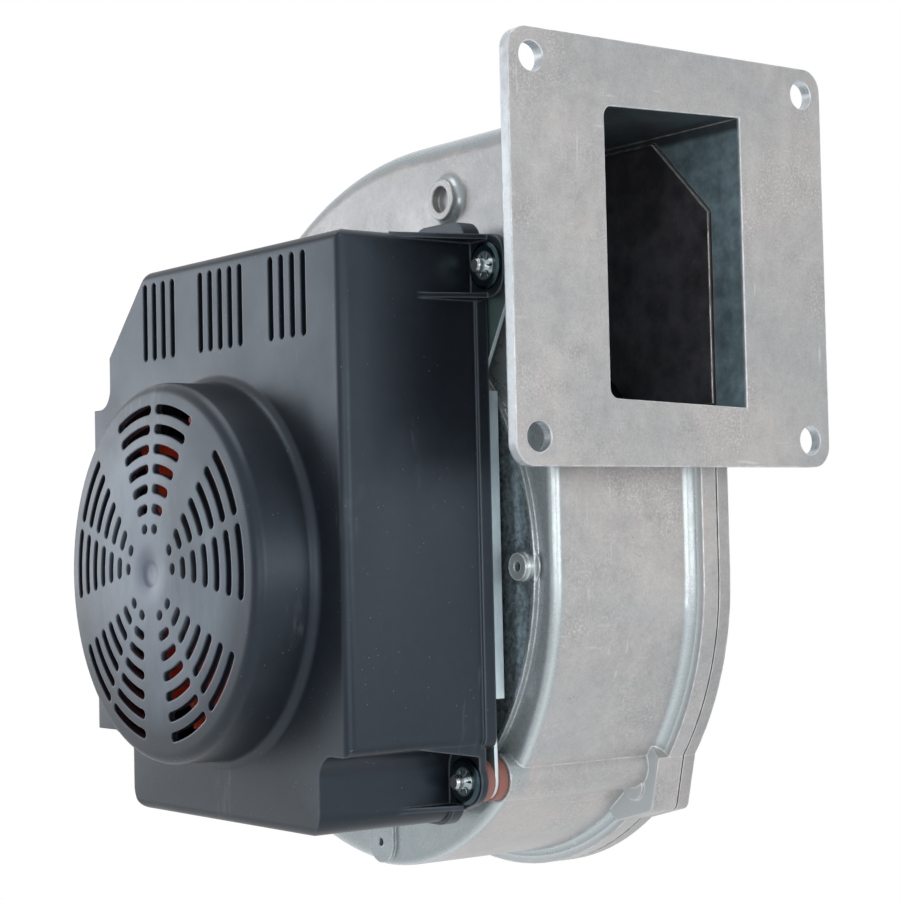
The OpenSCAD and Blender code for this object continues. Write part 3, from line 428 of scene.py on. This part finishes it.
def cast_aluminium(name, tone=1.0, duct_shade_colour=None):
    """Matt die casting with edges lightened for wear and a painted highlight, a painted blue-grey highlight
    on roundings and painted light on the rim; with a duct shade colour, also painted shade on the air's
    walls and the land.
    """
    s = Shader(name)
    patch = s.noise(24.0, 6.0, 0.62)
    cloud = s.noise(150.0, 5.0, 0.65)
    mottle = s.noise(520.0, 3.0, 0.65)
    grain = s.noise(1700.0, 2.0, 0.7)
    pit = cast_pits(s)
    painted_gleam_mask = painted_gleam_places(s)
    # Edges lightened for wear and as a painted highlight
    worn_lit_edges = s.product(s.edge_mask(0.001), s.ramp(s.noise(240.0, 2.0), [(0.4, 0.35), (0.6, 1.0)]))
    col = cast_skin(s, tone, patch, cloud, mottle, grain)
    col = s.mix(s.product(pit, 0.55), col, PIT)
    col = painted_light_and_trim(s, col, painted_gleam_mask, cloud)
    col = scratches(s, col)
    # Lighter edges: wear and a painted highlight
    col = s.mix(s.product(worn_lit_edges, 0.8), col, WORN_AND_HIGHLIT_METAL)
    if duct_shade_colour:
        # Painted shade on the walls that the air touches and on the land
        clouds = s.math("ADD", s.product(cloud, 0.5), s.product(patch, 0.5))
        col = duct_painted_shade(s, col, duct_shade_colour, clouds, worn_lit_edges)
        col = land_painted_shade(s, col, mottle)
    s.base(col)
    s.metal(0.4)
    s.rough(s.math("SUBTRACT", s.ramp(cloud, [(0.3, 0.28), (0.7, 0.44)]), s.product(painted_gleam_mask, 0.08)))
    height = s.math("ADD", s.product(grain, 0.4), s.math("ADD", mottle, s.product(pit, -1.5)))
    s.bump(height, 0.3, edge=0.0008)
    return s


# ---------- other materials ----------

DUST = (0.3, 0.32, 0.34)
SCUFF = (0.22, 0.25, 0.28)
RUBBED_FACE_SHEEN = (0.115, 0.138, 0.17)
EDGE_WEAR_AND_HIGHLIGHT = (0.14, 0.165, 0.19)


def cover_plastic():
    """Anthracite moulded plastic: spark-eroded grain, dust, faint scuffs, a painted sheen on the dome's
    face, and edges lightened for wear and a painted highlight.
    """
    s = Shader("cover_plastic")
    cloud = s.noise(9.0, 4.0, 0.6)
    fine = s.noise(260.0, 3.0, 0.6)
    col = s.ramp(cloud, [(0.3, (0.0052, 0.0072, 0.0108)), (0.7, (0.0077, 0.0102, 0.0147))])
    col = s.shade(col, s.ramp(fine, [(0.35, 0.8), (0.65, 1.25)]), 0.5)
    speck = s.ramp(s.cells(520.0), [(0.04, 1.0), (0.085, 0.0)])
    dusty = s.step(s.noise(120.0, 1.0), 0.5, 0.56)
    col = s.mix(s.product(s.product(speck, dusty), 0.6), col, DUST)
    rubs = s.noise(22.0, 5.0, 0.7, vector=s.scaled((1.0, 1.0, 0.35)), distortion=0.4)
    streak = s.noise(700.0, 2.0, 0.5, vector=s.scaled((1.0, 1.0, 0.12)))
    scuff = s.product(s.step(rubs, 0.6, 0.74), s.ramp(streak, [(0.45, 0.1), (0.7, 1.0)]))
    col = s.mix(s.product(scuff, 0.4), col, SCUFF)
    # The dome's face lighter and bluer: a painted sheen, in patches from rubbing
    proud = inside(s, "Y", DOME_Y - DOME_CLEAR, DOME_Y + RUBBED_SHEEN_DEPTH, RUBBED_SHEEN_DEPTH)
    rubbed_sheen = s.product(proud, s.ramp(rubs, [(0.38, 0.3), (0.6, 1.0)]))
    col = s.mix(s.product(rubbed_sheen, 0.8), col, RUBBED_FACE_SHEEN)
    # Edges lighter for wear and as a painted highlight
    col = s.mix(s.product(s.edge_mask(0.0013), 0.45), col, EDGE_WEAR_AND_HIGHLIGHT)
    s.base(col)
    s.rough(s.ramp(s.noise(60.0, 3.0), [(0.3, 0.35), (0.7, 0.42)]))
    s.spec(0.44)
    s.bsdf.inputs["Specular Tint"].default_value = (0.7, 0.85, 1.0, 1.0)
    s.bump(s.math("ADD", s.noise(1600.0, 2.0, 0.6), s.product(fine, 0.5)), 0.16, edge=0.0007)
    return s


def rubber(name, colour, rough=0.7):
    s = Shader(name)
    paler = tuple(c * 1.35 + 0.01 for c in colour)
    s.base(s.mix(s.product(s.noise(120.0, 3.0), 0.5), colour, paler))
    s.rough(rough)
    s.spec(0.35)
    s.bump(s.noise(1200.0, 2.0), 0.12, edge=0.0003)
    return s


def sheet(name, dark, light, rough=0.32, metal=0.9):
    """Plated or rolled sheet: broad clouds and fine rolling lines."""
    s = Shader(name)
    cloud = s.noise(40.0, 4.0, 0.6)
    lines = s.noise(30.0, 2.0, 0.6, vector=s.scaled((6.0, 60.0, 6.0)))
    tones = [(0.3, dark), (0.7, light)]
    s.base(s.mix(0.35, s.ramp(cloud, tones), s.ramp(lines, tones)))
    s.metal(metal)
    s.rough(s.ramp(cloud, [(0.3, rough), (0.7, rough + 0.12)]))
    s.bump(lines, 0.05, edge=0.0003)
    return s


def zinc_sheet(name):
    """Blue zinc plating, with painted shade, dark and greenish, on the plate's faces; its lip and edges
    keep the bright plating.
    """
    s = sheet(name, (0.42, 0.52, 0.56), (0.62, 0.72, 0.76), metal=0.6)
    # Painted shade, dark greenish, on the plate's faces across the fan axis
    face = s.ramp(s.lean("Y"), [(0.8, 0.0), (0.95, 0.85)])
    s.base(s.mix(face, s.base_so_far(), (0.1, 0.175, 0.165)))
    return s


def spring_washer(name):
    """Blued spring steel, with brighter teeth where it bends up to the pin."""
    s = sheet(name, (0.018, 0.032, 0.038), (0.06, 0.1, 0.112), rough=0.2, metal=1.0)
    rings = [near_line(s, (c.x, c.z), TEETH_R) for c in islands("push_on_washers")]
    teeth = rings[0]
    for ring in rings[1:]:
        teeth = s.math("MAXIMUM", teeth, ring)
    s.base(s.mix(teeth, s.base_so_far(), (0.55, 0.66, 0.68)))
    return s


def gloss_plastic(name, colour, rough=0.35):
    s = Shader(name)
    lighter = tuple(min(c, 1.0) for c in times(colour, 1.12))
    s.base(s.mix(s.noise(50.0, 3.0), times(colour, 0.85), lighter))
    s.rough(rough)
    s.bump(s.noise(700.0, 2.0), 0.05, edge=0.0004)
    return s


def turned_steel(name, colour, rough=0.25):
    s = Shader(name)
    ring = s.noise(400.0, 2.0, vector=s.scaled((1.0, 6.0, 1.0)))
    s.base(s.mix(ring, times(colour, 0.8), colour))
    s.metal(1.0)
    s.rough(s.ramp(ring, [(0.3, rough), (0.7, rough + 0.1)]))
    s.link(s.rounded(0.0003), s.bsdf.inputs["Normal"])
    return s


def laminated(name):
    """Stacked electrical sheet: fine lines across the fan axis."""
    s = Shader(name)
    lines = s.wave(320.0, 0.4, "Y")
    s.base(s.ramp(lines, [(0.2, 0.08), (0.8, 0.2)]))
    s.metal(0.8)
    s.rough(0.45)
    s.bump(lines, 0.3, 0.0002)
    return s


def copper_wire(name):
    s = Shader(name)
    turns = s.wave(260.0, 0.6, "DIAGONAL")
    s.base(s.ramp(turns, [(0.2, (0.16, 0.045, 0.015)), (0.8, (0.52, 0.2, 0.07))]))
    s.metal(0.7)
    s.rough(0.35)
    s.bump(turns, 0.6, 0.0004)
    return s


def board(name):
    s = Shader(name)
    tracks = s.cells(120.0)
    s.base(s.ramp(tracks, [(0.1, (0.02, 0.11, 0.05)), (0.3, (0.03, 0.17, 0.08))]))
    s.rough(0.35)
    s.bump(tracks, 0.1)
    return s


# The last value is the colour of the painted shade on the walls that the air touches
casting = cast_aluminium("cast_aluminium", 0.97, (0.2, 0.28, 0.315))
inlet_casting = cast_aluminium("cast_aluminium_inlet", 0.84, (0.07, 0.067, 0.076))
zinc = zinc_sheet("blue_zinc")
washer_steel = spring_washer("blued_spring_steel")
impeller_metal = sheet("impeller_sheet", (0.5, 0.51, 0.52), (0.66, 0.67, 0.68), rough=0.3)
bright_steel = turned_steel("bright_steel", (0.62, 0.63, 0.64))
red_plastic = gloss_plastic("orange_red_moulding", (0.9, 0.1, 0.03))

MATERIALS = {
    "volute_housing": casting,
    "inlet_cover": inlet_casting,
    "inlet_gasket": rubber("gasket_rubber", (0.03, 0.03, 0.03)),
    "inlet_cover_screws": bright_steel,
    "shaft_seal": rubber("seal_rubber", (0.02, 0.02, 0.02), 0.5),
    "impeller_backplate": impeller_metal,
    "impeller_blades": impeller_metal,
    "impeller_shroud": impeller_metal,
    "impeller_hub": turned_steel("turned_hub", (0.58, 0.59, 0.6), 0.3),
    "hub_rivets": bright_steel,
    "hub_nut": bright_steel,
    "shaft": turned_steel("ground_shaft", (0.6, 0.61, 0.62), 0.15),
    "front_bearing": turned_steel("bearing_steel", (0.6, 0.6, 0.61), 0.2),
    "rear_bearing": turned_steel("bearing_steel_rear", (0.6, 0.6, 0.61), 0.2),
    "rotor_core": laminated("rotor_laminations"),
    "rotor_magnet": rubber("ferrite", (0.03, 0.03, 0.035), 0.5),
    "stator_core": laminated("stator_laminations"),
    "stator_insulator": red_plastic,
    "stator_windings": copper_wire("enamelled_wire"),
    "front_bearing_bracket": cast_aluminium("bracket_casting", 0.9),
    "rear_bearing_bracket": cast_aluminium("rear_bracket_casting", 0.9),
    "bracket_screws": bright_steel,
    "plate_screws": bright_steel,
    "cooling_wheel": red_plastic,
    "cooling_wheel_clip": bright_steel,
    "motor_plate": zinc,
    "mounting_pins": turned_steel("pin_steel", (0.7, 0.71, 0.72), 0.18),
    "grommets": rubber("grommet_rubber", (0.19, 0.075, 0.06), 0.6),
    "push_on_washers": washer_steel,
    "circuit_board": board("circuit_board_green"),
    "board_standoffs": gloss_plastic("nylon", (0.7, 0.68, 0.6), 0.5),
    "heat_sink": sheet("extruded_sink", (0.3, 0.31, 0.32), (0.45, 0.46, 0.47), rough=0.4),
    "capacitors": gloss_plastic("capacitor_sleeve", (0.02, 0.025, 0.08), 0.3),
    "power_socket": gloss_plastic("light_moulding", (0.66, 0.63, 0.55), 0.45),
    "signal_socket": gloss_plastic("dark_moulding", (0.02, 0.02, 0.02), 0.45),
    "motor_cover": cover_plastic(),
}

# Vertices closer than WELD become one, and edges sharper than SHARP_ANGLE stay sharp
WELD = 1e-6
SHARP_ANGLE = math.radians(28)


def dress(node, shader):
    """Gives a CAD node its material and smooth shading across its curved faces."""
    ob = NODES[node]
    mesh = ob.data
    mesh.materials.clear()
    mesh.materials.append(shader.mat)
    if "custom_normal" in mesh.attributes:
        mesh.attributes.remove(mesh.attributes["custom_normal"])
    mesh.polygons.foreach_set("use_smooth", [True] * len(mesh.polygons))
    mesh.update()
    weld = ob.modifiers.new("weld", "WELD")
    weld.merge_threshold = WELD
    split = ob.modifiers.new("split", "EDGE_SPLIT")
    split.split_angle = SHARP_ANGLE


for node_name, node_shader in MATERIALS.items():
    dress(node_name, node_shader)

# ---------- studio ----------

scene = bpy.context.scene
WHITE = (1.0, 1.0, 1.0, 1.0)
FLOOR_SIZE = 14.0
FLOOR_GAP = 0.06
FLOOR_GLOW = 0.45
FILL_COLOUR = (0.93, 0.96, 1.0, 1.0)
FILL_STRENGTH = 0.35
LAMP_AIM = Vector((-0.1, -0.03, -0.06))


def plain_white(name):
    """White to the camera, to reflections and through glass; pale grey with a faint glow to other light."""
    s = Shader(name)
    s.base((0.9, 0.9, 0.9))
    s.rough(0.8)
    s.bsdf.inputs["Emission Color"].default_value = WHITE
    s.bsdf.inputs["Emission Strength"].default_value = FLOOR_GLOW
    glow = s.add("ShaderNodeEmission")
    glow.inputs["Color"].default_value = WHITE
    s.choose(s.seen(), s.bsdf.outputs[0], glow.outputs[0], s.out.inputs["Surface"])
    return s.mat


def studio_world():
    """White to the camera, to reflections and through glass; a dim bluish fill to other light."""
    world = bpy.data.worlds.new("studio_world")
    world.use_nodes = True
    w = Nodes(world.node_tree)
    backgrounds = []
    for colour, strength in ((FILL_COLOUR, FILL_STRENGTH), (WHITE, 1.0)):
        background = w.add("ShaderNodeBackground")
        background.inputs["Color"].default_value = colour
        background.inputs["Strength"].default_value = strength
        backgrounds.append(background.outputs[0])
    out = w.add("ShaderNodeOutputWorld")
    w.choose(w.seen(), *backgrounds, out.inputs["Surface"])
    return world


def softbox(name, place, size, power, colour=(1, 1, 1)):
    """A rectangular lamp that looks at the object."""
    data = bpy.data.lights.new(name, "AREA")
    data.shape = "RECTANGLE"
    data.size, data.size_y = size
    data.energy = power
    data.color = colour
    ob = bpy.data.objects.new(name, data)
    scene.collection.objects.link(ob)
    ob.location = place
    ob.rotation_euler = (LAMP_AIM - Vector(place)).to_track_quat("-Z", "Y").to_euler()


floor_z = CAD_BOX[0][2] - FLOOR_GAP
bpy.ops.mesh.primitive_plane_add(size=FLOOR_SIZE, location=(0.0, 0.0, floor_z))
floor = bpy.context.active_object
floor.name = "studio_floor"
floor.data.materials.append(plain_white("studio_white"))

scene.world = studio_world()

softbox("left_box", (-1.95, -1.1, -0.05), (1.7, 1.1), 17.4, (0.9, 0.945, 1.0))
softbox("outlet_box", (1.4, 0.15, -0.1), (0.9, 0.9), 10.1)
softbox("low_box", (0.9, -0.95, -0.05), (1.0, 0.3), 3.5)
softbox("back_box", (-0.7, 1.7, 0.5), (1.2, 1.2), 14.0)
softbox("top_box", (-0.1, 0.0, 1.4), (1.2, 1.2), 11.0)

# ---------- camera ----------

# Azimuth, elevation and roll in degrees, place, and focal length in mm, at the photograph's viewpoint
CAM_AZ, CAM_EL, CAM_ROLL = (math.radians(a) for a in (53.403, -2.4865, -1.2613))
CAM_PLACE = Vector((0.45722, -0.42177, -0.08067))
CAM_LENS = 86.965
SENSOR_WIDTH = 36.0
CLIP_START = 0.01

back = Vector((math.sin(CAM_AZ) * math.cos(CAM_EL), -math.cos(CAM_AZ) * math.cos(CAM_EL), math.sin(CAM_EL)))
level = back.cross(Vector((0, 0, -1))).normalized()
upright = back.cross(level)
right = level * math.cos(CAM_ROLL) + upright * math.sin(CAM_ROLL)
up = upright * math.cos(CAM_ROLL) - level * math.sin(CAM_ROLL)
cam_data = bpy.data.cameras.new("camera")
cam_data.lens = CAM_LENS
cam_data.sensor_width = SENSOR_WIDTH
cam_data.clip_start = CLIP_START
camera = bpy.data.objects.new("camera", cam_data)
scene.collection.objects.link(camera)
camera.matrix_world = Matrix((
    (right.x, up.x, back.x, CAM_PLACE.x),
    (right.y, up.y, back.y, CAM_PLACE.y),
    (right.z, up.z, back.z, CAM_PLACE.z),
    (0, 0, 0, 1)))
scene.camera = camera

scene.view_settings.view_transform = "Standard"
